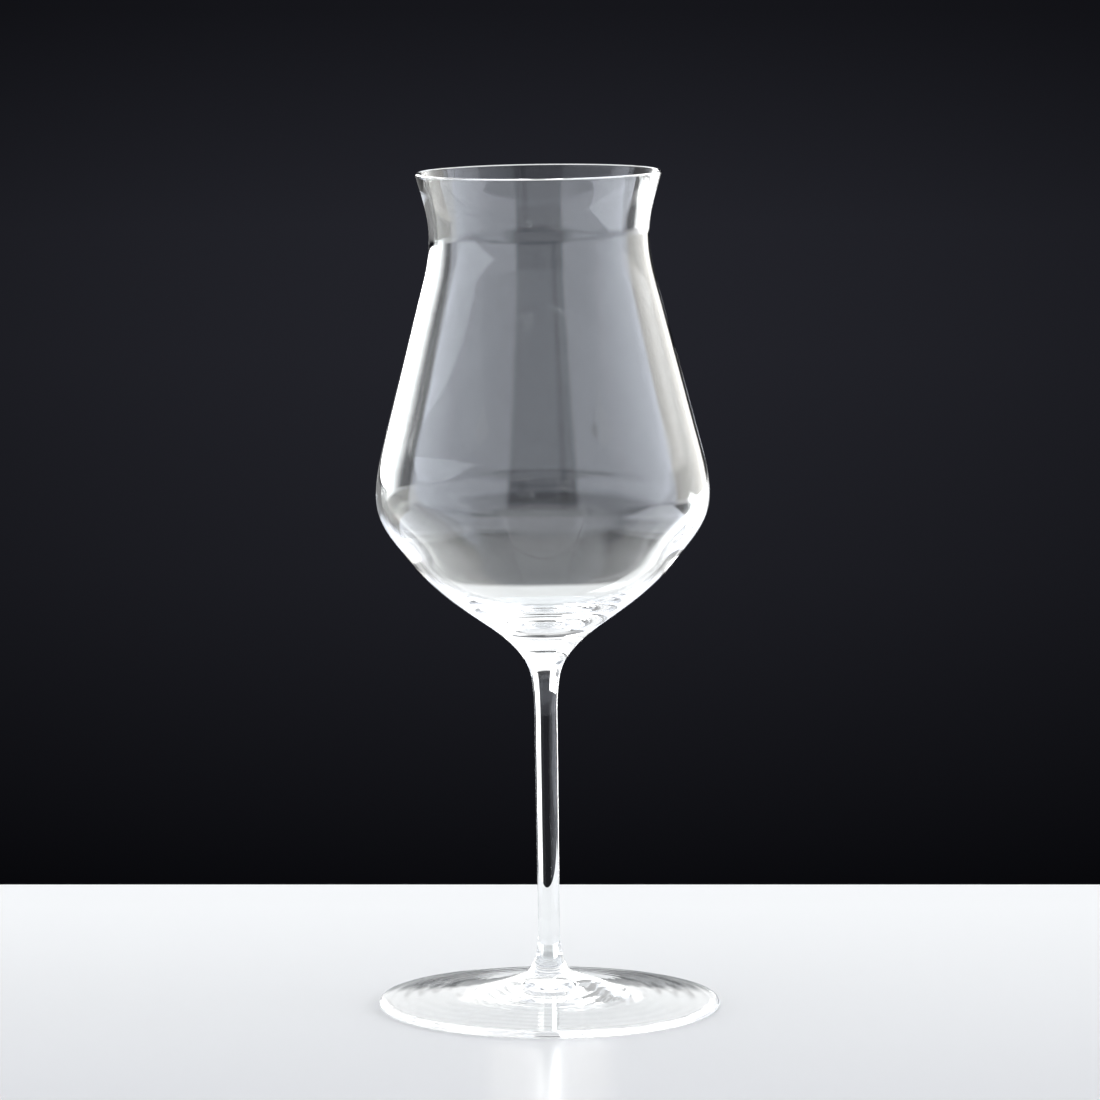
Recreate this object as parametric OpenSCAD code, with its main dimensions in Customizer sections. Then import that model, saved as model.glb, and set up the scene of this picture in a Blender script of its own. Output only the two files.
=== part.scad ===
// Stemmed whisky glass: a blown tulip bowl with a flared lip, on a drawn stem, on a spun foot.
// Millimetres, +Z up, origin at the middle of the plane that the foot rests on.

/* [Bowl diameters] */
// Outer diameter of the lip
lip_d = 52.4; // [46:0.2:60]
// Outer diameter of the waist, the narrowest place, just under the lip
waist_d = 46.9; // [40:0.1:52]
// Outer diameter of the belly, the widest place
belly_d = 71.4; // [60:0.2:84]
// Outer diameter where the underside turns from hollow to round
base_d = 24; // [16:0.5:32]

/* [Bowl heights] */
// From the seat on the stem up to the turn of the underside
base_h = 7.4; // [4:0.1:12]
// From the turn of the underside up to the shoulder
bottom_h = 13.7; // [9:0.1:20]
// From the shoulder up to the belly
shoulder_h = 14.2; // [9:0.1:20]
// From the belly up to the start of the straight flank
crown_h = 12; // [8:0.1:18]
// Height of the straight flank
flank_h = 29.5; // [15:0.5:45]
// From the top of the flank up to the waist
neck_h = 14.2; // [9:0.1:20]
// From the waist up to the lip
lip_h = 13.6; // [9:0.1:20]

/* [Bowl curves] */
// How far the shoulder lies inside the belly
shoulder_in = 7.7; // [5:0.1:11]
// How far the start of the flank lies inside the belly
crown_in = 2; // [1:0.1:4]
// How far the top of the flank lies outside the waist
neck_out = 2.65; // [1:0.05:4]
// Slope of the underside at its seat, from the upright
seat_angle = 34; // [25:1:50]
// Slope of the underside at its turn, from the upright
base_angle = 55; // [40:1:65]
// Slope of the shoulder, from the upright
shoulder_angle = 38; // [28:1:48]
// Slope of the flared lip's outside, from the upright
lip_angle = 15; // [0:1:25]
// Slope of the flared lip's inside, from the upright
lip_inside_angle = 21; // [5:1:30]

/* [Bowl walls] */
// Thickness of the rounded lip
lip_t = 0.7; // [0.5:0.05:1.5]
// Thickness of the wall from the belly up to the waist
wall_t = 1; // [0.6:0.05:1.8]
// Thickness of the wall at the shoulder
shoulder_t = 1.5; // [0.8:0.05:2.5]
// Solid glass between the inside bottom and the seat
floor_t = 9.2; // [6:0.1:11]

/* [Stem] */
// Diameter of the head that carries the bowl
head_d = 8.8; // [7:0.1:12]
// Diameter of the head's throat, where its flare begins
throat_d = 5.7; // [5:0.1:7]
// Diameter at the top of the shank
shank_top_d = 4.9; // [3.5:0.1:5.5]
// Diameter at the thinnest place of the shank
shank_d = 4.7; // [3.5:0.1:6.5]
// Diameter of the tail that stands on the foot
tail_d = 9.6; // [7:0.1:12]
// Height of the head's flare, from the throat up to the seat
flare_h = 5; // [3:0.1:8]
// From the shank up to the throat
throat_h = 11.4; // [7:0.1:16]
// Height of the shank
shank_h = 41; // [25:0.5:60]
// Height of the flared tail
tail_h = 10.8; // [7:0.1:16]
// Slope of the head's side at the seat, from the upright
head_angle = 30; // [18:1:40]
// Slope of the head's side at the throat, from the upright
throat_angle = 7; // [2:1:10]
// Slope of the tail's side at the seat, from the upright
tail_angle = 38; // [20:1:50]
// How far the stem and bowl lean from the upright, towards -X
lean = 0.8; // [0:0.1:2]

/* [Foot] */
// Diameter of the foot
foot_d = 73.5; // [64:0.5:90]
// Height of the seat that takes the stem
foot_h = 7.2; // [6:0.1:10]
// Thickness of the rounded edge
edge_t = 1.6; // [1:0.1:2.5]
// How much wider the seat is than the stem's tail
seat_ledge = 0.5; // [0.3:0.1:2]
// Fall of the upper side next to the seat, from the level
seat_fall = 21; // [12:1:30]
// Fall of the upper side next to the edge, from the level
edge_fall = 6; // [2:1:10]
// Width of the flat ring that the foot rests on
rest_w = 1.5; // [1:0.1:4]
// Height of the hollow under the foot
arch_h = 3.2; // [1:0.1:4]
// Rise of the hollow at the resting ring, from the level
arch_rise = 5; // [2:1:10]

/* [Hidden] */

// Points along one curve, and along the round of the lip or the edge
curve_steps = 12;
round_steps = 8;
// Length of a curve's handles, as a share of the distance that the curve spans
curve_pull = 0.36;
// Glass left above the seat before it is cut square to the stem
seat_allowance = 0.4;
facets = 120;
glass_tint = [0.86, 0.90, 0.92, 0.45];
level = 90;

// Bowl heights above its seat
base_z = base_h;
shoulder_z = base_z + bottom_h;
belly_z = shoulder_z + shoulder_h;
crown_z = belly_z + crown_h;
neck_z = crown_z + flank_h;
waist_z = neck_z + neck_h;
lip_z = waist_z + lip_h;

// Bowl radii
seat_r = head_d / 2;
belly_r = belly_d / 2;
waist_r = waist_d / 2;
crown_r = belly_r - crown_in;
neck_r = waist_r + neck_out;
flank_angle = atan2(neck_r - crown_r, flank_h);
lip_round = lip_t / 2;

// Stations along the bowl's sides: radius, height, slope from the upright
seat_at = [seat_r, 0, seat_angle];
base_at = [base_d / 2, base_z, base_angle];
shoulder_at = [belly_r - shoulder_in, shoulder_z, shoulder_angle];
belly_at = [belly_r, belly_z, 0];
crown_at = [crown_r, crown_z, flank_angle];
neck_at = [neck_r, neck_z, flank_angle];
waist_at = [waist_r, waist_z, 0];
lip_at = [lip_d / 2 - lip_round, lip_z - lip_round, lip_angle];
lip_inside_at = concat(place(inward(lip_at, lip_round)), lip_inside_angle);
floor_at = [0, floor_t, level];

// Stem heights above its seat on the foot
shank_z = tail_h;
head_z = shank_z + shank_h;
throat_z = head_z + throat_h;
stem_h = throat_z + flare_h;

// Foot radii
boss_r = tail_d / 2 + seat_ledge;
edge_round = edge_t / 2;
edge_r = foot_d / 2 - edge_round;
arch_r = edge_r - rest_w;

// Direction of a side that slopes outwards by an angle from the upright
function toward(angle) = [sin(angle), cos(angle)];

// Radius and height of a station
function place(station) = [station[0], station[1]];

// The station moved into the glass by a wall's thickness
function inward(station, wall) =
    [station[0] - wall * cos(station[2]), station[1] + wall * sin(station[2]), station[2]];

// Point on a curve with two ends and two handles
function bezier(start, handle, grip, end, t) =
    pow(1 - t, 3) * start + 3 * pow(1 - t, 2) * t * handle
    + 3 * (1 - t) * pow(t, 2) * grip + pow(t, 3) * end;

// Points from one station to the next, without the last one
function curve(from, to) =
    let (
        start = place(from),
        end = place(to),
        reach = curve_pull * norm(end - start),
        handle = start + reach * toward(from[2]),
        grip = end - reach * toward(to[2])
    )
    [for (i = [0 : curve_steps - 1]) bezier(start, handle, grip, end, i / curve_steps)];

// Points along a list of stations
function path(stations) = [
    for (i = [0 : len(stations) - 2]) each curve(stations[i], stations[i + 1]),
    place(stations[len(stations) - 1])
];

// Points between the ends of a round, counter-clockwise from one angle to another
function arc(middle, radius, from, to) = [
    for (i = [1 : round_steps - 1])
        let (angle = from + (to - from) * i / round_steps)
        middle + radius * [cos(angle), sin(angle)]
];

function backwards(points) = [for (i = [len(points) - 1 : -1 : 0]) points[i]];

bowl_outside = concat(
    path([seat_at, base_at, shoulder_at, belly_at, crown_at]),
    path([neck_at, waist_at, inward(lip_at, -lip_round)])
);

bowl_inside = concat(
    path([floor_at, inward(shoulder_at, shoulder_t), inward(belly_at, wall_t), inward(crown_at, wall_t)]),
    path([inward(neck_at, wall_t), inward(waist_at, wall_t), lip_inside_at])
);

bowl_profile = concat(
    [[0, 0]],
    bowl_outside,
    arc(place(lip_at), lip_round, -lip_angle, 180 - lip_angle),
    backwards(bowl_inside)
);

stem_profile = concat(
    [[0, 0]],
    path([
        [tail_d / 2, 0, -tail_angle],
        [shank_d / 2, shank_z, 0],
        [shank_top_d / 2, head_z, 0],
        [throat_d / 2, throat_z, throat_angle],
        [seat_r, stem_h, head_angle]
    ]),
    [[0, stem_h]]
);

foot_profile = concat(
    backwards(path([[arch_r, 0, arch_rise - level], [0, arch_h, -level]])),
    [[edge_r, 0]],
    arc([edge_r, edge_round], edge_round, -level, level - edge_fall),
    path([[edge_r + edge_round * sin(edge_fall), edge_round + edge_round * cos(edge_fall), edge_fall - level],
        [boss_r, foot_h, seat_fall - level]]),
    [[boss_r, foot_h + seat_allowance], [0, foot_h + seat_allowance]]
);

// A solid turned from its profile
module turned(profile) {
    rotate_extrude($fn = facets)
        polygon(profile);
}

// Places what stands on the foot's seat, square to the leaning stem
module on_seat() {
    translate([0, 0, foot_h])
        rotate([0, -lean, 0])
            children();
}

module bowl() {
    color(glass_tint)
        on_seat()
            translate([0, 0, stem_h])
                turned(bowl_profile);
}

module stem() {
    color(glass_tint)
        on_seat()
            turned(stem_profile);
}

module foot() {
    color(glass_tint)
        difference() {
            turned(foot_profile);
            on_seat()
                cylinder(r = boss_r + seat_allowance, h = 2 * seat_allowance, $fn = facets);
        }
}

bowl();
stem();
foot();
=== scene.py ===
"""Dresses the stemmed whisky glass: finely turned clear glass in a plain studio, on a pale table."""

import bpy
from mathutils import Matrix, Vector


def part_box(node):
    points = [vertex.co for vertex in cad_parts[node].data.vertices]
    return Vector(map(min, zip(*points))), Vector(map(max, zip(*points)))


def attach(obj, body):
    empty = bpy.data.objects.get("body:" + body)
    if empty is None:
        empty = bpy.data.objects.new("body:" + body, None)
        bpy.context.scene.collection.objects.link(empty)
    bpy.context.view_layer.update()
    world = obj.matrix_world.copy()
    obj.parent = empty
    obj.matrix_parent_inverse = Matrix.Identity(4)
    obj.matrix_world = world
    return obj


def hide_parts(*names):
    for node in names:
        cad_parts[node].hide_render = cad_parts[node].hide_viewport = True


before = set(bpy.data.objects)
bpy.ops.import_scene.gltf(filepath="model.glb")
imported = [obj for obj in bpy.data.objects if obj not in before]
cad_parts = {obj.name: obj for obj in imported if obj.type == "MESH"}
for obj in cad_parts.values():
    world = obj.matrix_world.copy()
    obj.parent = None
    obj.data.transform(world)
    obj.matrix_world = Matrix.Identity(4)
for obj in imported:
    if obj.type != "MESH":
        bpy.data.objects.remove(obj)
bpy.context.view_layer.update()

import logging
import math
from dataclasses import dataclass, field
from enum import Enum
from itertools import accumulate
from typing import Any, List, Mapping, Optional, Sequence, Tuple, Union

import bmesh
import bpy
from mathutils import Vector

log = logging.getLogger("whisky_glass")

MM = 0.001
BODY = "root"

# Angles in degrees
LEVEL = 90.0
HALF_TURN = 180.0
FULL_TURN = 360.0

Operand = Union["Wire", float]
Colour = Tuple[float, float, float]
Pair = Tuple[float, float]
Stops = Tuple[Pair, ...]

WHITE: Colour = (1.0, 1.0, 1.0)
COOL: Colour = (0.94, 0.98, 1.08)
PALE: Colour = (0.97, 0.99, 1.04)
WARM: Colour = (1.0, 0.98, 0.93)
ROSY: Colour = (1.0, 0.94, 0.90)


class Side(Enum):
    """Which face of a wall a stretch of profile belongs to."""

    OUTSIDE = 0.0
    INSIDE = 1.0


class Sight(Enum):
    """How a light can be seen."""

    OPEN = "from everywhere"
    MIRROR = "only after a bounce off a surface"
    SOLID = "only through a single piece of glass, without a bounce"
    GLASS = "after a bounce, or through a single piece of glass"


@dataclass(frozen=True)
class Wire:
    """An output socket whose arithmetic adds Math nodes to its tree."""

    sketch: "Sketch"
    socket: bpy.types.NodeSocket

    def math(self, operation: str, *others: Operand) -> "Wire":
        """Adds one Math node.

        Args:
            operation: The Math node's operation.
            others: The operands after this wire.

        Returns:
            The node's result.
        """
        operands = dict(enumerate((self, *others)))
        return self.sketch.wire("ShaderNodeMath", {"operation": operation}, operands)

    def second(self, operation: str, first: float) -> "Wire":
        """Adds one Math node with a number before this wire."""
        return self.sketch.wire("ShaderNodeMath", {"operation": operation}, {0: first, 1: self})

    def __add__(self, other: Operand) -> "Wire":
        """This plus the other."""
        return self.math("ADD", other)

    __radd__ = __add__

    def __sub__(self, other: Operand) -> "Wire":
        """This minus the other."""
        return self.math("SUBTRACT", other)

    def __rsub__(self, other: float) -> "Wire":
        """The other minus this."""
        return self.second("SUBTRACT", other)

    def __mul__(self, other: Operand) -> "Wire":
        """This times the other."""
        return self.math("MULTIPLY", other)

    __rmul__ = __mul__

    def __truediv__(self, other: Operand) -> "Wire":
        """This over the other."""
        return self.math("DIVIDE", other)

    def __rtruediv__(self, other: float) -> "Wire":
        """The other over this."""
        return self.second("DIVIDE", other)

    def __neg__(self) -> "Wire":
        """This with its sign turned."""
        return self.math("MULTIPLY", -1.0)


class Sketch:
    """A node tree that every node is added to in the same way."""

    # Light that has crossed a single piece of glass has a transmission depth between these
    SINGLE_PIECE = (0.5, 3.5)

    def __init__(self, tree: bpy.types.NodeTree) -> None:
        """Starts from a tree with its nodes removed.

        Args:
            tree: The tree to draw in.
        """
        self.tree = tree
        tree.nodes.clear()

    @classmethod
    def material(cls, name: str) -> Tuple[bpy.types.Material, "Sketch"]:
        """Starts a material.

        Args:
            name: Its name.

        Returns:
            The material, and the sketch of its tree.
        """
        made = bpy.data.materials.new(name)
        made.use_nodes = True
        return made, cls(made.node_tree)

    def node(
        self,
        kind: str,
        settings: Optional[Mapping[str, Any]] = None,
        sockets: Optional[Mapping[Union[str, int], Any]] = None,
    ) -> bpy.types.Node:
        """Adds a node, sets it up, then fills or links its sockets.

        Args:
            kind: The node's type.
            settings: Its properties, set before its sockets.
            sockets: Values or wires by socket name or number.

        Returns:
            The node.
        """
        made = self.tree.nodes.new(kind)
        for name, value in (settings or {}).items():
            setattr(made, name, value)
        for name, value in (sockets or {}).items():
            target = made.inputs[name]
            if isinstance(value, Wire):
                self.tree.links.new(value.socket, target)
            else:
                target.default_value = value
        return made

    def wire(
        self,
        kind: str,
        settings: Optional[Mapping[str, Any]] = None,
        sockets: Optional[Mapping[Union[str, int], Any]] = None,
        output: Union[str, int] = 0,
    ) -> Wire:
        """Adds a node and hands back one of its outputs.

        Args:
            kind: The node's type.
            settings: Its properties.
            sockets: Values or wires by socket name or number.
            output: The output's name or number.

        Returns:
            The output as a wire.
        """
        return Wire(self, self.node(kind, settings, sockets).outputs[output])

    def step(self, value: Wire, at: float, soft: float) -> Wire:
        """Rises smoothly from 0 to 1 around a place.

        Args:
            value: What is measured.
            at: Where the rise is half done.
            soft: How wide the rise is.

        Returns:
            The rise, between 0 and 1.
        """
        sockets = {"Value": value, "From Min": at - soft / 2, "From Max": at + soft / 2}
        return self.wire("ShaderNodeMapRange", {"interpolation_type": "SMOOTHSTEP"}, sockets)

    def ramp(self, value: Wire, stops: Sequence[Pair]) -> Wire:
        """Reads a number off a line through stops.

        Args:
            value: Where to read, between 0 and 1.
            stops: Places and the numbers there.

        Returns:
            The number.
        """
        made = self.node("ShaderNodeValToRGB", {}, {"Fac": value})
        elements = made.color_ramp.elements
        while len(elements) < len(stops):
            # Its real place comes below
            elements.new(0.5)
        while len(elements) > len(stops):
            elements.remove(elements[-1])
        for element, (place, level) in zip(elements, stops):
            element.position = place
            element.color = (level, level, level, 1.0)
        return Wire(self, made.outputs["Color"])

    def around(self, bearing: Wire, levels: Stops) -> Wire:
        """Reads a level off stops that go once round.

        Args:
            bearing: The bearing in degrees, between -180 and 180.
            levels: Bearings and the levels there, none of them above 1.

        Returns:
            The level.
        """
        stops = [((place + HALF_TURN) / FULL_TURN, level) for place, level in levels]
        return self.ramp((bearing + HALF_TURN) / FULL_TURN, stops)

    def bearing(self, x: Wire, y: Wire) -> Wire:
        """Degrees from the camera's side, -Y, and positive towards +X."""
        return x.math("ARCTAN2", -y) * math.degrees(1.0)

    def split(self, vector: Wire) -> Tuple[Wire, ...]:
        """The three parts of a vector."""
        parts = self.node("ShaderNodeSeparateXYZ", {}, {"Vector": vector})
        return tuple(Wire(self, part) for part in parts.outputs)

    def seen(self, sight: Sight) -> Wire:
        """Tells whether light on its present path is seen.

        Args:
            sight: How it can be seen, if not from everywhere.

        Returns:
            1 where it is seen, else 0.
        """
        paths = self.node("ShaderNodeLightPath")
        labels = ("Glossy Depth", "Diffuse Depth", "Transmission Depth")
        glossy, diffuse, through = (Wire(self, paths.outputs[label]) for label in labels)
        mirrored = (glossy + diffuse).math("MINIMUM", 1.0)
        if sight is Sight.MIRROR:
            return mirrored
        least, most = self.SINGLE_PIECE
        solid = through.math("GREATER_THAN", least) * through.math("LESS_THAN", most)
        if sight is Sight.SOLID:
            return solid * (1.0 - mirrored)
        return (mirrored + solid).math("MINIMUM", 1.0)

    def blend(self, share: Wire, start: Colour, end: Colour) -> Wire:
        """Mixes two colours.

        Args:
            share: How much there is of the second one, between 0 and 1.
            start: The first colour.
            end: The second colour.

        Returns:
            The mixed colour.
        """
        # The node's colour sockets share their names with its other kinds, so they go by number
        sockets = {0: share, 6: (*start, 1.0), 7: (*end, 1.0)}
        return self.wire("ShaderNodeMix", {"data_type": "RGBA"}, sockets, output=2)

    def attribute(self, kind: str, label: str) -> Wire:
        """A named attribute of the geometry."""
        return self.wire("GeometryNodeInputNamedAttribute", {"data_type": kind}, {"Name": label})

    def surface(self, shader: Wire) -> None:
        """Ends a material's tree with its shader."""
        self.node("ShaderNodeOutputMaterial", {}, {"Surface": shader})

    def scaled(self, vector: Union[Wire, Colour], factor: Wire) -> Wire:
        """A vector or colour times a number."""
        return self.wire("ShaderNodeVectorMath", {"operation": "SCALE"}, {0: vector, "Scale": factor})

    def added(self, one: Wire, other: Union[Wire, Colour]) -> Wire:
        """The sum of two vectors or colours."""
        return self.wire("ShaderNodeVectorMath", {"operation": "ADD"}, {0: one, 1: other})


@dataclass(frozen=True)
class Station:
    """A place on a profile in millimetres, with the side's slope there in degrees from the upright."""

    radius: float
    height: float
    slope: float

    def inward(self, wall: float) -> "Station":
        """The station moved into the glass by a wall's thickness."""
        angle = math.radians(self.slope)
        return Station(
            self.radius - wall * math.cos(angle), self.height + wall * math.sin(angle), self.slope
        )

    @property
    def place(self) -> Vector:
        """Radius and height."""
        return Vector((self.radius, self.height))

    @property
    def heading(self) -> Vector:
        """Direction of the side here."""
        angle = math.radians(self.slope)
        return Vector((math.sin(angle), math.cos(angle)))


# Length of a curve's handles, as a share of the distance that the curve spans
CURVE_PULL = 0.36
CURVE_STEPS = 48
# Shortest stretch of a line that is divided by, in millimetres
TINY = 1e-9


def span(start: Station, end: Station) -> List[Vector]:
    """Samples the curve between two stations.

    Args:
        start: Where the curve starts.
        end: Where it ends.

    Returns:
        Its points, without the last one.
    """
    reach = CURVE_PULL * (end.place - start.place).length
    handle = start.place + reach * start.heading
    grip = end.place - reach * end.heading
    points = []
    for i in range(CURVE_STEPS):
        t = i / CURVE_STEPS
        u = 1 - t
        early = u**3 * start.place + 3 * u * u * t * handle
        points.append(early + 3 * u * t * t * grip + t**3 * end.place)
    return points


def trace(stations: Sequence[Station]) -> List[Vector]:
    """Samples the curves through a list of stations.

    Args:
        stations: The stations in order.

    Returns:
        The points, with both ends.
    """
    points = [point for pair in zip(stations, stations[1:]) for point in span(*pair)]
    return points + [stations[-1].place]


def rounded(middle: Vector, radius: float, start: float, end: float, steps: int) -> List[Vector]:
    """Samples the inner points of an arc.

    Args:
        middle: The arc's middle.
        radius: Its radius.
        start: Its first angle in degrees.
        end: Its last angle.
        steps: How many parts it is cut into.

    Returns:
        The points between its two ends.
    """
    points = []
    for i in range(1, steps):
        angle = math.radians(start + (end - start) * i / steps)
        points.append(middle + radius * Vector((math.cos(angle), math.sin(angle))))
    return points


def even(points: Sequence[Vector], pitch: float, passes: int) -> List[Vector]:
    """Spaces points evenly along their line, then eases its bends.

    Args:
        points: The line.
        pitch: About how far apart the new points lie.
        passes: How many times each point is drawn towards its neighbours.

    Returns:
        The new points, with both ends kept.
    """
    lengths = [0.0]
    for a, b in zip(points, points[1:]):
        lengths.append(lengths[-1] + (b - a).length)
    count = max(2, round(lengths[-1] / pitch))
    result, j = [], 0
    for i in range(count + 1):
        goal = lengths[-1] * i / count
        while j < len(points) - 2 and lengths[j + 1] < goal:
            j += 1
        share = (goal - lengths[j]) / max(lengths[j + 1] - lengths[j], TINY)
        result.append(points[j].lerp(points[j + 1], min(1.0, share)))
    for _ in range(passes):
        eased = [(a + 2 * b + c) / 4 for a, b, c in zip(result, result[1:], result[2:])]
        result = [result[0], *eased, result[-1]]
    return result


@dataclass
class Profile:
    """A half section in millimetres, with what the lathe needs to know of each point."""

    points: List[Vector] = field(default_factory=list)
    lean: List[float] = field(default_factory=list)
    fused: List[float] = field(default_factory=list)
    wave: List[float] = field(default_factory=list)
    ripple: List[float] = field(default_factory=list)
    side: List[float] = field(default_factory=list)

    def add(
        self,
        points: Sequence[Vector],
        lean: float = 1.0,
        fused: float = 0.0,
        wave: float = 0.0,
        ripple: float = 0.0,
        side: Side = Side.OUTSIDE,
    ) -> None:
        """Adds a stretch of profile, all of it alike.

        Args:
            points: The stretch.
            lean: Share of the stem's lean that it takes.
            fused: 1 where it is melted to the next piece.
            wave: Share of the hand-made waviness that it shows.
            ripple: Share of the spun ripples that it shows.
            side: The face of the wall that it belongs to.
        """
        for point in points:
            self.points.append(point)
            self.lean.append(lean)
            self.fused.append(fused)
            self.wave.append(wave)
            self.ripple.append(ripple)
            self.side.append(side.value)

    def mesh(self, name: str) -> bpy.types.Mesh:
        """Makes a mesh of loose points, in metres, that carries the profile.

        Args:
            name: The mesh's name.

        Returns:
            The mesh.
        """
        made = bpy.data.meshes.new(name)
        made.from_pydata([(p.x * MM, 0.0, p.y * MM) for p in self.points], [], [])
        for label in ("lean", "fused", "wave", "ripple", "side"):
            layer = made.attributes.new(label, "FLOAT", "POINT")
            layer.data.foreach_set("value", getattr(self, label))
        normals = made.attributes.new("out", "FLOAT_VECTOR", "POINT")
        last = len(self.points) - 1
        for i, item in enumerate(normals.data):
            along = self.points[min(i + 1, last)] - self.points[max(i - 1, 0)]
            along.normalize()
            item.vector = (along.y, 0.0, -along.x)
        return made


@dataclass(frozen=True)
class GlassFinish:
    """Clear fire-polished glass, with the faint cords and touch marks of hand work."""

    name: str = "clear_glass"
    tint: Colour = (0.985, 0.992, 0.992)
    deep_tint: Colour = (0.965, 0.985, 0.985)
    ior: float = 1.52
    polish: float = 0.0
    smudge: float = 0.012
    cord_scale: float = 60.0
    cord_stretch: float = 0.25
    cord_detail: float = 2.0
    cord_depth: float = 0.00004
    cord_strength: float = 0.3
    touch_detail: float = 4.0
    touch_edge: float = 0.62
    touch_soft: float = 0.2

    def build(self) -> bpy.types.Material:
        """Makes the material.

        Returns:
            The material.
        """
        material, sketch = Sketch.material(self.name)
        place = sketch.wire("ShaderNodeTexCoord", output="Object")
        stretch = {"Vector": place, "Scale": (1.0, 1.0, self.cord_stretch)}
        cords = self._noise(sketch, sketch.wire("ShaderNodeMapping", {}, stretch), self.cord_detail)
        touch = self._noise(sketch, place, self.touch_detail)
        marks = sketch.step(touch, self.touch_edge, self.touch_soft)
        colour = sketch.blend(cords, self.tint, self.deep_tint)
        relief = {"Strength": self.cord_strength, "Distance": self.cord_depth, "Height": cords}
        normal = sketch.wire("ShaderNodeBump", {}, relief)
        surface = sketch.wire(
            "ShaderNodeBsdfPrincipled",
            {},
            {
                "Base Color": colour,
                "Roughness": self.polish + marks * self.smudge,
                "IOR": self.ior,
                "Transmission Weight": 1.0,
                "Normal": normal,
            },
        )
        sketch.surface(surface)
        return material

    def _noise(self, sketch: Sketch, place: Wire, detail: float) -> Wire:
        """Noise at the scale of the cords."""
        sockets = {"Vector": place, "Scale": self.cord_scale, "Detail": detail}
        return sketch.wire("ShaderNodeTexNoise", {}, sockets)


@dataclass(frozen=True)
class SeamFinish:
    """Glass that is melted to glass: light goes straight through."""

    name: str = "fused_seam"

    def build(self) -> bpy.types.Material:
        """Makes the material.

        Returns:
            The material.
        """
        material, sketch = Sketch.material(self.name)
        sketch.surface(sketch.wire("ShaderNodeBsdfPrincipled", {}, {"Alpha": 0.0}))
        return material


@dataclass(frozen=True)
class TableFinish:
    """Pale lacquered board, darker towards the front with painted shade, with a patch of soft gloss in
    front of the glass. Metres.

    In reflections alone, the board glows on both sides of a wedge that opens from a point far in front.
    """

    name: str = "pale_table"
    # Colour at the back, colour at the front and the depths between which it changes: the darker front is
    # painted shade
    colour: Colour = (0.73, 0.73, 0.715)
    front_shade_colour: Colour = (0.575, 0.575, 0.575)
    front_shade_fade: Pair = (-0.12, 0.12)
    sheen_middle: float = -0.085
    sheen_reach: Pair = (0.016, 0.06)
    sheen_edge: float = 0.75
    sheen_soft: float = 0.5
    sheen_roughness: float = 0.2
    glow: float = 1.1
    glow_tint: Colour = COOL
    wedge_distance: float = 1.309
    wedge_spread: Pair = (0.0915, 0.1)

    def build(self) -> bpy.types.Material:
        """Makes the material.

        Returns:
            The material.
        """
        material, sketch = Sketch.material(self.name)
        across, depth, _ = sketch.split(sketch.wire("ShaderNodeTexCoord", output="Object"))
        # The colour darkens towards the front: painted shade where less light falls
        low, high = self.front_shade_fade
        share = sketch.wire("ShaderNodeMapRange", {}, {"Value": depth, "From Min": low, "From Max": high})
        colour = sketch.blend(share, self.front_shade_colour, self.colour)
        inner, outer = self.wedge_spread
        spread = across.math("ABSOLUTE") / (depth + self.wedge_distance)
        beside = sketch.step(spread, (inner + outer) / 2, outer - inner)
        wide, long = self.sheen_reach
        off = across.math("ABSOLUTE") / wide
        down = (depth - self.sheen_middle).math("ABSOLUTE") / long
        off_edge = sketch.step(off, self.sheen_edge, self.sheen_soft)
        off_end = sketch.step(down, self.sheen_edge, self.sheen_soft)
        sheen = (1.0 - off_edge) * (1.0 - off_end)
        surface = sketch.wire(
            "ShaderNodeBsdfPrincipled",
            {},
            {
                "Base Color": colour,
                "Roughness": 1.0,
                "Specular IOR Level": 0.0,
                "Coat Weight": sheen,
                "Coat Roughness": self.sheen_roughness,
                "Emission Color": sketch.scaled(self.glow_tint, beside * sketch.seen(Sight.MIRROR)),
                "Emission Strength": self.glow,
            },
        )
        sketch.surface(surface)
        return material


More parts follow.
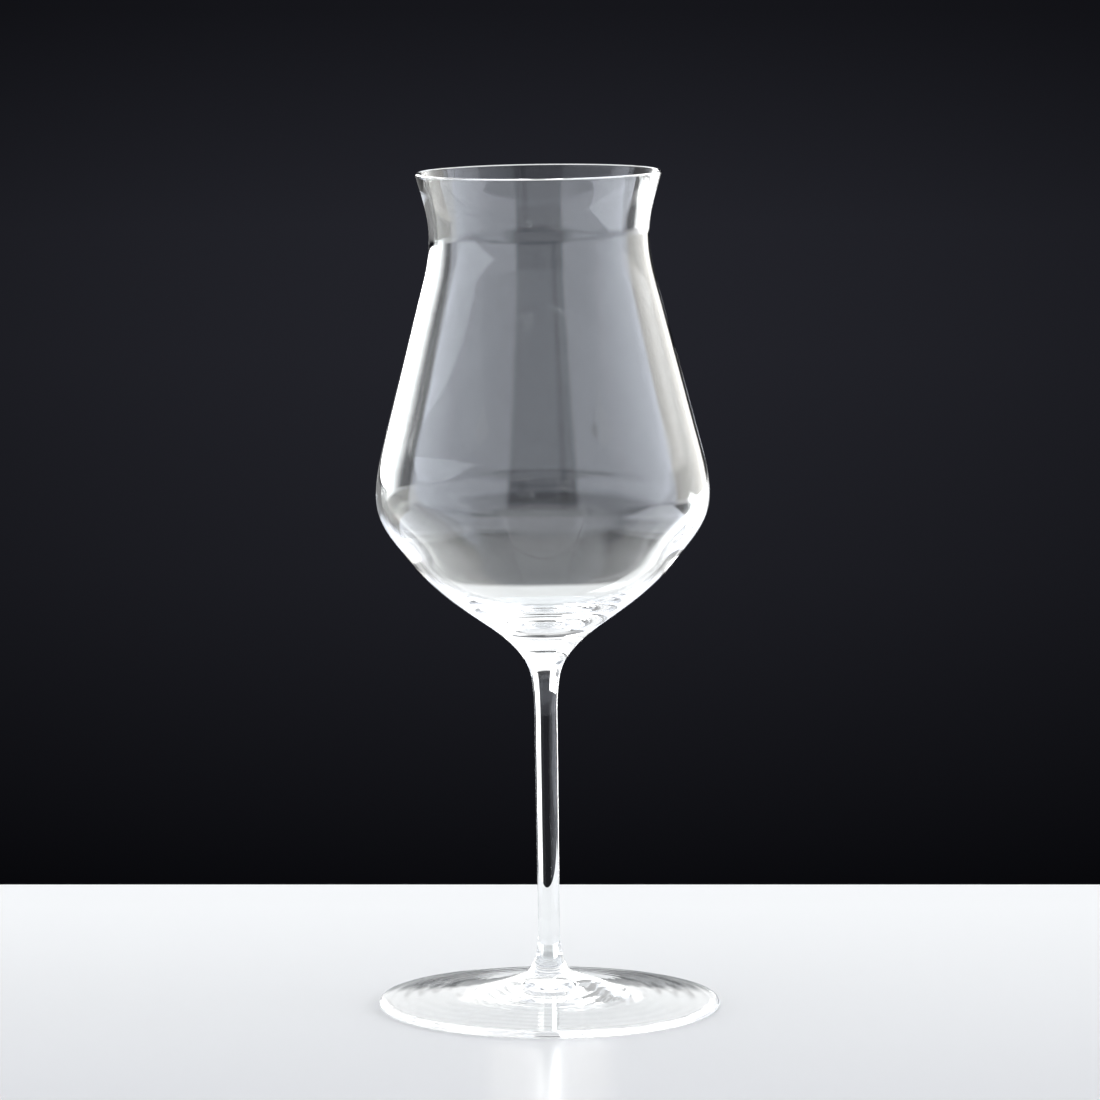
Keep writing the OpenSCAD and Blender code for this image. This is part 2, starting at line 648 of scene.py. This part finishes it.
class Lathe:
    """The Geometry Nodes tree that turns a profile into a closed solid of glass."""

    INPUTS = (
        ("Segments", "NodeSocketInt"),
        ("Lean", "NodeSocketFloat"),
        ("Seat Height", "NodeSocketFloat"),
        ("Wave Height", "NodeSocketFloat"),
        ("Wave Scale", "NodeSocketFloat"),
        ("Ripple Height", "NodeSocketFloat"),
        ("Ripple Pitch", "NodeSocketFloat"),
        ("Seed", "NodeSocketFloat"),
        ("Glass", "NodeSocketMaterial"),
        ("Seam", "NodeSocketMaterial"),
    )
    # Distance under which points are merged, in metres
    WELD = 1e-6
    # Sharpest bend that is shaded smooth, in degrees
    CREASE = 28.0
    # A face is a seam if the mean of its points' `fused` is above this, and merged rim points hold 0.5
    FUSED = 0.5
    # Detail of the waviness, and the most pitches that it shifts the ripples by
    WAVE_DETAIL = 1.0
    RIPPLE_SHIFT = 3.0

    def __init__(self) -> None:
        """Builds the tree."""
        self.tree = bpy.data.node_groups.new("turned_glass", "GeometryNodeTree")
        face = self.tree.interface
        face.new_socket(name="Profile", in_out="INPUT", socket_type="NodeSocketGeometry")
        self.keys = {
            name: face.new_socket(name=name, in_out="INPUT", socket_type=kind).identifier
            for name, kind in self.INPUTS
        }
        face.new_socket(name="Solid", in_out="OUTPUT", socket_type="NodeSocketGeometry")
        self._draw()

    def _draw(self) -> None:
        """Adds the nodes: a grid with a row for each point, bent into place and closed."""
        sketch = Sketch(self.tree)
        entry = sketch.node("NodeGroupInput")
        given = {socket.name: Wire(sketch, socket) for socket in entry.outputs if socket.name}
        profile = given["Profile"]
        rings = sketch.wire(
            "GeometryNodeAttributeDomainSize", {"component": "MESH"}, {"Geometry": profile}, "Point Count"
        )
        columns = given["Segments"] + 1.0
        grid = sketch.wire("GeometryNodeMeshGrid", {}, {"Vertices X": rings, "Vertices Y": columns})
        index = sketch.wire("GeometryNodeInputIndex")
        row = (index / columns).math("FLOOR")
        turn = (index - row * columns) * math.tau / given["Segments"]

        def sample(kind: str, value: Wire) -> Wire:
            """Reads a value of the profile's point in this row."""
            sockets = {"Geometry": profile, "Value": value, "Index": row}
            return sketch.wire("GeometryNodeSampleIndex", {"data_type": kind}, sockets)

        def number(label: str) -> Wire:
            """Reads a named number of the profile."""
            return sample("FLOAT", sketch.attribute("FLOAT", label))

        def turned(vector: Wire) -> Wire:
            """Turns a vector of the half section to this column."""
            sockets = {"Vector": vector, "Angle": turn}
            return sketch.wire("ShaderNodeVectorRotate", {"rotation_type": "Z_AXIS"}, sockets)

        flat = sample("FLOAT_VECTOR", sketch.wire("GeometryNodeInputPosition"))
        out = turned(sample("FLOAT_VECTOR", sketch.attribute("FLOAT_VECTOR", "out")))
        place = turned(flat)
        seed = given["Seed"] + number("side")
        noise = sketch.wire(
            "ShaderNodeTexNoise",
            {"noise_dimensions": "4D"},
            {"Vector": place, "W": seed, "Scale": given["Wave Scale"], "Detail": self.WAVE_DETAIL},
        )
        radius = sketch.split(flat)[0]
        phase = radius / given["Ripple Pitch"] * math.tau + noise * self.RIPPLE_SHIFT * math.tau
        ripple = phase.math("SINE") * given["Ripple Height"] * number("ripple")
        wave = (noise * 2.0 - 1.0) * given["Wave Height"] * number("wave")
        moved = sketch.added(place, sketch.scaled(out, wave + ripple))
        centre = sketch.wire("ShaderNodeCombineXYZ", {}, {"Z": given["Seat Height"]})
        leaning = sketch.wire(
            "ShaderNodeVectorRotate",
            {"rotation_type": "Y_AXIS"},
            {"Vector": moved, "Center": centre, "Angle": -given["Lean"] * number("lean")},
        )
        solid = sketch.wire(
            "GeometryNodeStoreNamedAttribute",
            {"data_type": "FLOAT", "domain": "POINT"},
            {"Geometry": grid, "Name": "fused", "Value": number("fused")},
        )
        solid = sketch.wire("GeometryNodeSetPosition", {}, {"Geometry": solid, "Position": leaning})
        solid = self._closed(sketch, solid, given["Glass"], given["Seam"])
        sketch.node("NodeGroupOutput", {}, {"Solid": solid})

    def _closed(self, sketch: Sketch, solid: Wire, glass: Wire, seam: Wire) -> Wire:
        """Closes the bent grid and gives it its materials.

        Args:
            sketch: The lathe's tree.
            solid: The bent grid.
            glass: The material of its surface.
            seam: The material of its fused faces.

        Returns:
            The finished solid.
        """
        solid = sketch.wire("GeometryNodeMergeByDistance", {}, {"Geometry": solid, "Distance": self.WELD})
        solid = sketch.wire("GeometryNodeSetShadeSmooth", {}, {"Geometry": solid})
        solid = sketch.wire("GeometryNodeRealizeInstances", {}, {"Geometry": solid})
        solid = sketch.wire("GeometryNodeSetMaterial", {}, {"Geometry": solid, "Material": glass})
        melted = sketch.attribute("FLOAT", "fused").math("GREATER_THAN", self.FUSED)
        sockets = {"Geometry": solid, "Selection": melted, "Material": seam}
        return sketch.wire("GeometryNodeSetMaterial", {}, sockets)

    def turn(self, name: str, profile: Profile, settings: Mapping[str, Any]) -> bpy.types.Object:
        """Turns a profile and freezes the result as a plain mesh.

        Args:
            name: The piece's name.
            profile: Its half section.
            settings: The tree's inputs by name.

        Returns:
            The piece, at the origin.
        """
        piece = bpy.data.objects.new(name, profile.mesh(name + "_profile"))
        bpy.context.scene.collection.objects.link(piece)
        modifier = piece.modifiers.new("lathe", "NODES")
        modifier.node_group = self.tree
        for label, value in settings.items():
            modifier[self.keys[label]] = value
        depsgraph = bpy.context.evaluated_depsgraph_get()
        mesh = bpy.data.meshes.new_from_object(piece.evaluated_get(depsgraph), depsgraph=depsgraph)
        mesh.name = name
        # The grid brings an empty slot before the two materials
        mesh.materials.pop(index=0)
        piece.modifiers.remove(modifier)
        old, piece.data = piece.data, mesh
        bpy.data.meshes.remove(old)
        self._tidy(mesh)
        return piece

    @staticmethod
    def _tidy(mesh: bpy.types.Mesh) -> None:
        """Turns the faces outwards, drops empty ones and marks the creases.

        Args:
            mesh: The turned mesh.
        """
        work = bmesh.new()
        work.from_mesh(mesh)
        bmesh.ops.dissolve_degenerate(work, dist=Lathe.WELD, edges=work.edges)
        bmesh.ops.recalc_face_normals(work, faces=work.faces)
        work.to_mesh(mesh)
        work.free()
        mesh.attributes.remove(mesh.attributes["fused"])
        mesh.set_sharp_from_angle(angle=math.radians(Lathe.CREASE))


@dataclass
class TurnedPiece:
    """What the bowl, the stem and the foot share. Millimetres and degrees.

    Spacing is the distance between a profile's points, easing how often its bends are eased, and calm the
    distance from a seam, an edge or the axis over which the waviness fades in.
    """

    node: str
    segments: int = 240
    lean: float = 0.8
    wave_height: float = 0.02
    wave_scale: float = 30.0
    ripple_height: float = 0.0
    ripple_pitch: float = 3.0
    seed: float = 1.0

    def profile(self) -> Profile:
        """The piece's half section, in millimetres above the table."""
        raise NotImplementedError

    def build(
        self,
        lathe: Lathe,
        seat: float,
        glass: bpy.types.Material,
        seam: bpy.types.Material,
    ) -> bpy.types.Object:
        """Turns and dresses the piece, and puts it in the node's place.

        Args:
            lathe: The turning tree.
            seat: Height of the foot's seat in millimetres.
            glass: The material of its surface.
            seam: The material of its fused faces.

        Returns:
            The piece.
        """
        settings = {
            "Segments": self.segments,
            "Lean": math.radians(self.lean),
            "Seat Height": seat * MM,
            "Wave Height": self.wave_height * MM,
            "Wave Scale": self.wave_scale,
            "Ripple Height": self.ripple_height * MM,
            "Ripple Pitch": self.ripple_pitch * MM,
            "Seed": self.seed,
            "Glass": glass,
            "Seam": seam,
        }
        piece = lathe.turn("glass_" + self.node, self.profile(), settings)
        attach(piece, BODY)
        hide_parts(self.node)
        low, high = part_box(self.node)
        log.info("%s: %d faces in the box %s to %s", piece.name, len(piece.data.polygons), low, high)
        return piece


@dataclass
class Foot(TurnedPiece):
    """The spun disc, hollow underneath, with a raised seat for the stem."""

    node: str = "foot"
    diameter: float = 73.5
    seat_height: float = 7.2
    edge: float = 1.6
    seat_radius: float = 5.3
    tail_radius: float = 4.8
    seat_fall: float = 21.0
    edge_fall: float = 6.0
    rest_width: float = 1.5
    arch: float = 3.2
    arch_rise: float = 5.0
    lean_reach: float = 8.0
    ripple_height: float = 0.01
    wave_height: float = 0.015
    under_spacing: float = 0.5
    top_spacing: float = 0.25
    ledge_spacing: float = 0.1
    easing: int = 2
    edge_steps: int = 20
    middle_calm: float = 10.0
    rest_calm: float = 3.0
    seat_calm: float = 3.0

    def profile(self) -> Profile:
        """Goes from the middle of the hollow round the edge and up to the seat.

        Returns:
            The half section.
        """
        half = self.edge / 2
        edge_r = self.diameter / 2 - half
        arch_r = edge_r - self.rest_width
        tilt = math.radians(self.edge_fall)
        made = Profile()
        under = trace([Station(arch_r, 0, self.arch_rise - LEVEL), Station(0, self.arch, -LEVEL)])
        for point in reversed(even(under, self.under_spacing, self.easing)):
            near = min(1.0, (arch_r - point.x) / self.rest_calm)
            made.add([point], lean=0, wave=min(1.0, point.x / self.middle_calm) * near)
        made.add([Vector((edge_r, 0))], lean=0)
        middle = Vector((edge_r, half))
        made.add(rounded(middle, half, -LEVEL, LEVEL - self.edge_fall, self.edge_steps), lean=0)
        start = Station(
            edge_r + half * math.sin(tilt), half + half * math.cos(tilt), self.edge_fall - LEVEL
        )
        top = trace([start, Station(self.seat_radius, self.seat_height, self.seat_fall - LEVEL)])
        for point in even(top, self.top_spacing, self.easing):
            near = min(1.0, (point.x - self.seat_radius) / self.seat_calm)
            lean = max(0.0, 1 - (point.x - self.seat_radius) / self.lean_reach)
            made.add([point], lean=lean, wave=near, ripple=near, side=Side.INSIDE)
        rim = Vector((self.seat_radius, self.seat_height))
        tail = Vector((self.tail_radius, self.seat_height))
        made.add(even([rim, tail], self.ledge_spacing, 0)[1:])
        made.add([tail, Vector((0, self.seat_height))], fused=1.0)
        return made


@dataclass
class Stem(TurnedPiece):
    """The drawn rod between the foot and the bowl."""

    node: str = "stem"
    seat: float = 7.2
    tail_diameter: float = 9.6
    shank_diameter: float = 4.7
    shank_top_diameter: float = 4.9
    throat_diameter: float = 5.7
    head_diameter: float = 8.8
    tail_height: float = 10.8
    shank_height: float = 41.0
    throat_height: float = 11.4
    flare_height: float = 5.0
    tail_slope: float = 38.0
    throat_slope: float = 7.0
    head_slope: float = 30.0
    spacing: float = 0.4
    easing: int = 4
    seam_calm: float = 5.0

    @property
    def top(self) -> float:
        """Height of the seam with the bowl."""
        return self.seat + self.tail_height + self.shank_height + self.throat_height + self.flare_height

    def profile(self) -> Profile:
        """Goes from the middle of the tail up the side to the middle of the head.

        Returns:
            The half section.
        """
        shank = self.seat + self.tail_height
        stations = [
            Station(self.tail_diameter / 2, self.seat, -self.tail_slope),
            Station(self.shank_diameter / 2, shank, 0),
            Station(self.shank_top_diameter / 2, shank + self.shank_height, 0),
            Station(self.throat_diameter / 2, self.top - self.flare_height, self.throat_slope),
            Station(self.head_diameter / 2, self.top, self.head_slope),
        ]
        made = Profile()
        side = even(trace(stations), self.spacing, self.easing)
        made.add([Vector((0, self.seat)), side[0]], fused=1.0)
        for point in side:
            near = min(point.y - self.seat, self.top - point.y) / self.seam_calm
            made.add([point], wave=min(1.0, near))
        made.add([side[-1], Vector((0, self.top))], fused=1.0)
        return made


@dataclass
class Bowl(TurnedPiece):
    """The blown tulip with its flared lip and solid base."""

    node: str = "bowl"
    seat: float = 75.4
    lip_diameter: float = 52.4
    waist_diameter: float = 46.9
    belly_diameter: float = 71.4
    base_diameter: float = 24.0
    seat_diameter: float = 8.8
    base_height: float = 7.4
    bottom_height: float = 13.7
    shoulder_height: float = 14.2
    crown_height: float = 12.0
    flank_height: float = 29.5
    neck_height: float = 14.2
    lip_height: float = 13.6
    shoulder_in: float = 7.7
    crown_in: float = 2.0
    neck_out: float = 2.65
    seat_slope: float = 34.0
    base_slope: float = 55.0
    shoulder_slope: float = 38.0
    lip_slope: float = 15.0
    lip_inner_slope: float = 21.0
    lip_wall: float = 0.7
    wall: float = 1.0
    shoulder_wall: float = 1.5
    floor: float = 9.2
    # Taken off the lip's height, so that this finer turning stays inside the CAD's box
    lip_shave: float = 0.005
    spacing: float = 0.8
    easing: int = 4
    lip_steps: int = 16
    seam_calm: float = 8.0
    lip_calm: float = 4.0
    middle_calm: float = 15.0
    seed: float = 4.0

    @property
    def heights(self) -> List[float]:
        """Heights of the base, shoulder, belly, crown, neck, waist and lip."""
        rises = (
            self.base_height,
            self.bottom_height,
            self.shoulder_height,
            self.crown_height,
            self.flank_height,
            self.neck_height,
            self.lip_height - self.lip_shave,
        )
        return list(accumulate(rises, initial=self.seat))[1:]

    def profile(self) -> Profile:
        """Goes from the seam up the outside, over the lip and down the inside.

        Returns:
            The half section.
        """
        base_z, shoulder_z, belly_z, crown_z, neck_z, waist_z, lip_z = self.heights
        belly_r, waist_r = self.belly_diameter / 2, self.waist_diameter / 2
        crown_r, neck_r = belly_r - self.crown_in, waist_r + self.neck_out
        flank = math.degrees(math.atan2(neck_r - crown_r, self.flank_height))
        half = self.lip_wall / 2
        seat = Station(self.seat_diameter / 2, self.seat, self.seat_slope)
        base = Station(self.base_diameter / 2, base_z, self.base_slope)
        shoulder = Station(belly_r - self.shoulder_in, shoulder_z, self.shoulder_slope)
        belly = Station(belly_r, belly_z, 0)
        crown = Station(crown_r, crown_z, flank)
        neck = Station(neck_r, neck_z, flank)
        waist = Station(waist_r, waist_z, 0)
        lip = Station(self.lip_diameter / 2 - half, lip_z - half, self.lip_slope)
        lip_inside = Station(*lip.inward(half).place, self.lip_inner_slope)
        floor = Station(0, self.seat + self.floor, LEVEL)
        upper = [station.inward(self.wall) for station in (belly, crown, neck, waist)]
        outer = trace([seat, base, shoulder, belly, crown, neck, waist, lip.inward(-half)])
        inner = trace([floor, shoulder.inward(self.shoulder_wall), *upper, lip_inside])
        outside = even(outer, self.spacing, self.easing)
        inside = even(inner, self.spacing, self.easing)
        made = Profile()
        made.add([Vector((0, self.seat)), outside[0]], fused=1.0)
        for point in outside:
            made.add([point], wave=self._free(point, lip_z))
        made.add(rounded(lip.place, half, -self.lip_slope, HALF_TURN - self.lip_slope, self.lip_steps))
        for point in reversed(inside):
            wave = self._free(point, lip_z) * min(1.0, point.x / self.middle_calm)
            made.add([point], wave=wave, side=Side.INSIDE)
        return made

    def _free(self, point: Vector, lip_z: float) -> float:
        """How freely the glass could waver at a point, between 0 and 1."""
        above, below = (point.y - self.seat) / self.seam_calm, (lip_z - point.y) / self.lip_calm
        return max(0.0, min(1.0, above, below))


@dataclass(frozen=True)
class Band:
    """A stretch of studio between two heights, whose light varies with the bearing. Degrees.

    Bearings start from the camera's side, -Y, and are positive towards +X.
    """

    height: Pair
    levels: Stops
    soft: Pair
    tint: Colour = WHITE
    sight: Sight = Sight.OPEN

    def light(self, sketch: Sketch, bearing: Wire, height: Wire) -> Wire:
        """Adds the band's nodes.

        Args:
            sketch: The world's tree.
            bearing: The bearing of a direction.
            height: Its height.

        Returns:
            The band's light in that direction.
        """
        brightest = max(level for _, level in self.levels)
        ramp = sketch.around(bearing, tuple((place, level / brightest) for place, level in self.levels))
        rise = sketch.step(height, self.height[0], self.soft[0])
        fall = 1.0 - sketch.step(height, self.height[1], self.soft[1])
        level = ramp * rise * fall * brightest
        if self.sight is not Sight.OPEN:
            level = level * sketch.seen(self.sight)
        return sketch.scaled(self.tint, level)


@dataclass(frozen=True)
class Backdrop:
    """Dark cloth behind the table, a little lighter behind the bowl. Heights and bearings in degrees."""

    heights: Pair = (-12.0, 4.0)
    levels: Stops = (
        (-10.2, 0.003), (-8.6, 0.008), (-7.2, 0.0125), (-5.2, 0.0165), (-4.0, 0.0165), (-2.0, 0.008),
    )
    tint: Colour = (1.0, 1.03, 1.38)
    reach: float = 11.0
    edge: float = 0.4

    def light(self, sketch: Sketch, bearing: Wire, height: Wire) -> Wire:
        """Adds the cloth's nodes.

        Args:
            sketch: The world's tree.
            bearing: The bearing of a direction.
            height: Its height.

        Returns:
            The cloth's light in that direction.
        """
        low, high = self.heights
        brightest = max(level for _, level in self.levels)
        stops = [((place - low) / (high - low), level / brightest) for place, level in self.levels]
        rise = sketch.ramp((height - low) / (high - low), stops)
        pool = sketch.step(bearing.math("ABSOLUTE"), HALF_TURN - self.reach / 2, self.reach)
        return sketch.scaled(self.tint, rise * (pool * (1.0 - self.edge) + self.edge) * brightest)


# Light of the far wall by bearing, which is dark on the camera's side
FAR_WALL: Stops = ((-145, 1.15), (-138, 0), (100, 0), (130, 1.15))
FAR_WALL_TOP: Stops = ((-145, 1.2), (-138, 0), (100, 0), (130, 1.2))
# Light of the brightest strip, from its near edge to where it dies out behind the glass
BRIGHT_STRIP: Stops = ((137, 5), (142, 8), (152, 8), (158, 4), (165, 1.3), (170, 0.4), (176, 0))

BANDS: Tuple[Band, ...] = (
    # Walls on the camera's side, from low to high
    Band(
        (-42.0, -13.0),
        (
            (-107, 0), (-105, 1.9), (-60, 1.6), (-26, 1.6), (-23, 1.15), (23, 1.15), (26, 1.5),
            (38, 1.5), (60, 1.6), (105, 2.0), (107, 0),
        ),
        (3.0, 3.0),
        COOL,
        Sight.MIRROR,
    ),
    Band(
        (-13.0, -5.0),
        (
            (-107, 0), (-105, 1.9), (-70, 1.4), (-56, 1.3), (-48, 0.45), (-26, 0.4), (-22, 0.12),
            (20, 0.12), (26, 0.3), (40, 1.0), (54, 1.4), (75, 1.4), (105, 2.0), (107, 0),
        ),
        (3.0, 3.0),
        COOL,
        Sight.MIRROR,
    ),
    Band(
        (-5.0, 15.5),
        (
            (-107, 0), (-105, 2.2), (-75, 1.9), (-50, 1.8), (-26, 1.7), (-23, 0.55), (12, 0.55),
            (13, 0.33), (17, 0.33), (18, 0.55), (23, 0.55), (26, 1.5), (50, 1.6), (75, 2.3),
            (105, 3.0), (107, 0),
        ),
        (3.0, 2.0),
        COOL,
        Sight.MIRROR,
    ),
    Band(
        (15.5, 26.5),
        (
            (-107, 0), (-105, 1.8), (-75, 1.6), (-50, 1.5), (-26, 1.4), (-23, 0.8), (12, 0.8),
            (13, 0.5), (17, 0.5), (18, 0.8), (23, 0.8), (26, 1.4), (50, 1.6), (75, 2.4),
            (105, 2.8), (107, 0),
        ),
        (2.0, 3.0),
        COOL,
    ),
    Band(
        (26.5, 54.0),
        (
            (-107, 0), (-105, 0.3), (-50, 0.3), (-25, 0.2), (25, 0.2), (45, 0.6), (66, 0.9),
            (69, 2.0), (105, 2.4), (107, 0),
        ),
        (3.0, 8.0),
        COOL,
    ),
    # Strips behind the glass on its left
    Band(
        (-2.8, 7.0),
        ((-167, 0), (-165, 7), (-135, 7), (-134, 0.3), (-107, 0.3), (-106, 0)),
        (0.8, 2.0),
        sight=Sight.GLASS,
    ),
    Band(
        (7.0, 30.0),
        ((-167, 0), (-165, 5), (-151, 5), (-146, 0.3), (-107, 0.3), (-106, 0)),
        (2.0, 4.0),
        sight=Sight.GLASS,
    ),
    # Warm wall and strips behind the glass on its right
    Band((-4.6, 14.0), ((105, 0), (107, 2.2), (157, 1.9), (159, 0)), (0.8, 4.0), WARM, Sight.MIRROR),
    Band((14.0, 54.0), ((105, 0), (107, 0.9), (157, 0.8), (159, 0)), (4.0, 8.0), WARM),
    Band(
        (-7.5, -4.6),
        ((105, 0), (107, 2.4), (125, 2.6), (131, 3.5), *BRIGHT_STRIP),
        (1.0, 0.8),
        sight=Sight.MIRROR,
    ),
    Band(
        (-19.0, -7.5),
        ((105, 0), (107, 0.4), (126, 0.5), (131, 2.5), *BRIGHT_STRIP),
        (2.0, 1.0),
        sight=Sight.MIRROR,
    ),
    Band(
        (-10.7, 12.0),
        ((128, 0), (132, 2.5), (138, 6), (142, 8), (152, 8), (156, 2), (160, 0)),
        (0.4, 4.0),
        sight=Sight.SOLID,
    ),
    # Low light that the foot, the stem and the bowl's base gather
    Band((-60.0, -19.0), ((-150, 0), (-140, 1), (140, 1), (150, 0)), (4.0, 4.0), sight=Sight.SOLID),
    Band(
        (-26.0, -19.0),
        ((105, 0), (107, 1), (120, 1), (126, 4), (146, 6), (149, 0)),
        (3.0, 2.0),
        sight=Sight.GLASS,
    ),
    Band(
        (-40.0, -15.0),
        ((-140, 0), (-132, 0.6), (-120, 0.8), (-106, 1.0), (-105, 0)),
        (3.0, 3.0),
        ROSY,
        Sight.MIRROR,
    ),
    Band(
        (-20.0, -4.0),
        ((-178, 0.25), (-150, 0.25), (-120, 0.2), (-107, 0.8), (-106, 0)),
        (3.0, 0.8),
        sight=Sight.MIRROR,
    ),
    # Far wall, above what the camera sees of it
    Band((8.0, 14.0), FAR_WALL, (3.0, 3.0), sight=Sight.MIRROR),
    Band((14.0, 30.0), FAR_WALL, (3.0, 6.0)),
    Band((24.0, 54.0), ((-150, 0), (-145, 0.9), (-107, 0.9), (-105, 0)), (6.0, 8.0)),
    Band((30.0, 54.0), FAR_WALL_TOP, (6.0, 8.0)),
    # Floor behind the table and in front of it, then the ceiling
    Band((-60.0, -18.0), ((-165, 0.8), (-150, 0), (150, 0), (165, 0.8)), (4.0, 4.0)),
    Band(
        (-58.0, -42.0),
        ((-50, 0), (-30, 0.3), (-20, 0.75), (20, 0.85), (35, 1.2), (50, 0.6), (65, 0)),
        (3.0, 3.0),
        COOL,
        Sight.MIRROR,
    ),
    Band((54.0, 100.0), ((0, 1.55),), (8.0, 1.0), PALE),
)


@dataclass
class Studio:
    """Broad walls on the camera's side, bright strips behind, a pale ceiling and a dark backdrop."""

    bands: Tuple[Band, ...] = BANDS
    backdrop: Backdrop = field(default_factory=Backdrop)

    def build(self) -> None:
        """Lights the scene through its world."""
        world = bpy.data.worlds.new("studio")
        bpy.context.scene.world = world
        world.use_nodes = True
        sketch = Sketch(world.node_tree)
        x, y, z = sketch.split(sketch.wire("ShaderNodeTexCoord", output="Generated"))
        bearing = sketch.bearing(x, y)
        height = z.math("ARCSINE") * math.degrees(1.0)
        light = self.backdrop.light(sketch, bearing, height)
        for band in self.bands:
            light = sketch.added(light, band.light(sketch, bearing, height))
        shader = sketch.wire("ShaderNodeBackground", {}, {"Color": light})
        sketch.node("ShaderNodeOutputWorld", {}, {"Surface": shader})
        log.info("studio: %d bands of light", len(self.bands))


@dataclass
class Table:
    """The pale board that the glass stands on. Millimetres."""

    width: float = 300.0
    front: float = 100.0
    back: float = 149.0
    thickness: float = 30.0
    # Kept clear under the foot, so that glass and board don't share a plane
    gap: float = 0.05
    ease: float = 1.0
    ease_steps: int = 3
    # Makes the eased edges round
    ease_shape: float = 0.5
    finish: TableFinish = field(default_factory=TableFinish)

    def build(self) -> bpy.types.Object:
        """Makes the board.

        Returns:
            The board.
        """
        work = bmesh.new()
        bmesh.ops.create_cube(work, size=1.0)
        middle = Vector((0, (self.back - self.front) / 2, -self.gap - self.thickness / 2))
        size = Vector((self.width, self.back + self.front, self.thickness))
        for vert in work.verts:
            vert.co = MM * Vector(a * b + c for a, b, c in zip(vert.co, size, middle))
        bmesh.ops.bevel(
            work,
            geom=work.edges[:],
            offset=self.ease * MM,
            segments=self.ease_steps,
            profile=self.ease_shape,
            affect="EDGES",
        )
        mesh = bpy.data.meshes.new("table")
        work.to_mesh(mesh)
        work.free()
        mesh.materials.append(self.finish.build())
        board = bpy.data.objects.new("table", mesh)
        bpy.context.scene.collection.objects.link(board)
        log.info("table: stage")
        return board


@dataclass
class FloorLight:
    """A soft level light beside the table or in front of it. Millimetres and degrees.

    It lies a little under the plane that the glass rests on, and is clear to light that hasn't bounced.
    """

    name: str
    across: Pair
    along: Pair
    strength: float
    drop: float = 2.0
    tint: Colour = COOL
    levels: Stops = ((0, 1.0),)

    def build(self) -> bpy.types.Object:
        """Makes the light.

        Returns:
            The light.
        """
        left, right = self.across
        near, far = self.along
        corners = [(left, near), (right, near), (right, far), (left, far)]
        mesh = bpy.data.meshes.new(self.name)
        mesh.from_pydata([MM * Vector((*corner, -self.drop)) for corner in corners], [], [(0, 1, 2, 3)])
        mesh.materials.append(self._glow())
        light = bpy.data.objects.new(self.name, mesh)
        bpy.context.scene.collection.objects.link(light)
        log.info("%s: stage", self.name)
        return light

    def _glow(self) -> bpy.types.Material:
        """Makes the material.

        Returns:
            The material.
        """
        material, sketch = Sketch.material(self.name)
        x, y, _ = sketch.split(sketch.wire("ShaderNodeTexCoord", output="Object"))
        level = sketch.around(sketch.bearing(x, y), self.levels)
        colour = sketch.scaled(self.tint, level)
        glow = sketch.wire("ShaderNodeEmission", {}, {"Color": colour, "Strength": self.strength})
        clear = sketch.wire("ShaderNodeBsdfTransparent")
        bounced = sketch.seen(Sight.MIRROR)
        sketch.surface(sketch.wire("ShaderNodeMixShader", {}, {0: bounced, 1: clear, 2: glow}))
        return material


BESIDE_TABLE: Pair = (-Table.front, Table.back)
FLOOR_LIGHTS = (
    FloorLight(
        "front_light",
        (-1000.0, 1000.0),
        (-1700.0, -490.0),
        1.8,
        levels=((-60, 1.0), (-38, 0.8), (-25, 0.42), (23, 0.42), (38, 0.8), (60, 1.0)),
    ),
    FloorLight("left_light", (-800.0, -151.0), BESIDE_TABLE, 1.75, Table.gap),
    FloorLight("right_light", (151.0, 265.0), BESIDE_TABLE, 1.9, Table.gap),
    FloorLight("far_right_light", (265.0, 1000.0), (-200.0, Table.back), 3.0, Table.gap),
)


@dataclass
class Camera:
    """The photograph's point of view. Millimetres and degrees."""

    distance: float = 1309.2
    height: float = 260.1
    sideways: float = 0.075
    tilt: float = 7.017
    lens: float = 201.8
    sensor: float = 36.0
    reach: float = 20000.0

    def build(self) -> bpy.types.Object:
        """Makes the camera and looks through it.

        Returns:
            The camera.
        """
        data = bpy.data.cameras.new("camera")
        data.lens = self.lens
        data.sensor_width = self.sensor
        data.clip_end = self.reach * MM
        made = bpy.data.objects.new("camera", data)
        made.location = MM * Vector((self.sideways, -self.distance, self.height))
        made.rotation_euler = (math.radians(LEVEL - self.tilt), 0, 0)
        bpy.context.scene.collection.objects.link(made)
        bpy.context.scene.camera = made
        return made


@dataclass(frozen=True)
class LightPaths:
    """How far light is followed. Light that runs inside the bowl's wall bounces more than 24 times."""

    glass_bounces: int = 160
    dull_bounces: int = 4
    clear_layers: int = 40
    blur: float = 0.2

    def build(self) -> None:
        """Sets the bounces, and the plain view."""
        scene = bpy.context.scene
        scene.view_settings.view_transform = "Standard"
        cycles = scene.cycles
        cycles.max_bounces = self.glass_bounces
        cycles.transmission_bounces = self.glass_bounces
        cycles.glossy_bounces = self.glass_bounces
        cycles.diffuse_bounces = self.dull_bounces
        cycles.transparent_max_bounces = self.clear_layers
        cycles.blur_glossy = self.blur
        cycles.use_denoising = True


def main() -> None:
    """Builds the camera, the studio and the three pieces of glass."""
    logging.basicConfig(level=logging.INFO, format="%(name)s %(message)s")
    LightPaths().build()
    Camera().build()
    Studio().build()
    Table().build()
    for light in FLOOR_LIGHTS:
        light.build()
    glass = GlassFinish().build()
    seam = SeamFinish().build()
    lathe = Lathe()
    foot = Foot()
    stem = Stem(seat=foot.seat_height, tail_diameter=2 * foot.tail_radius)
    bowl = Bowl(seat=stem.top, seat_diameter=stem.head_diameter)
    for piece in (bowl, stem, foot):
        piece.build(lathe, foot.seat_height, glass, seam)


if __name__ == "__main__":
    main()
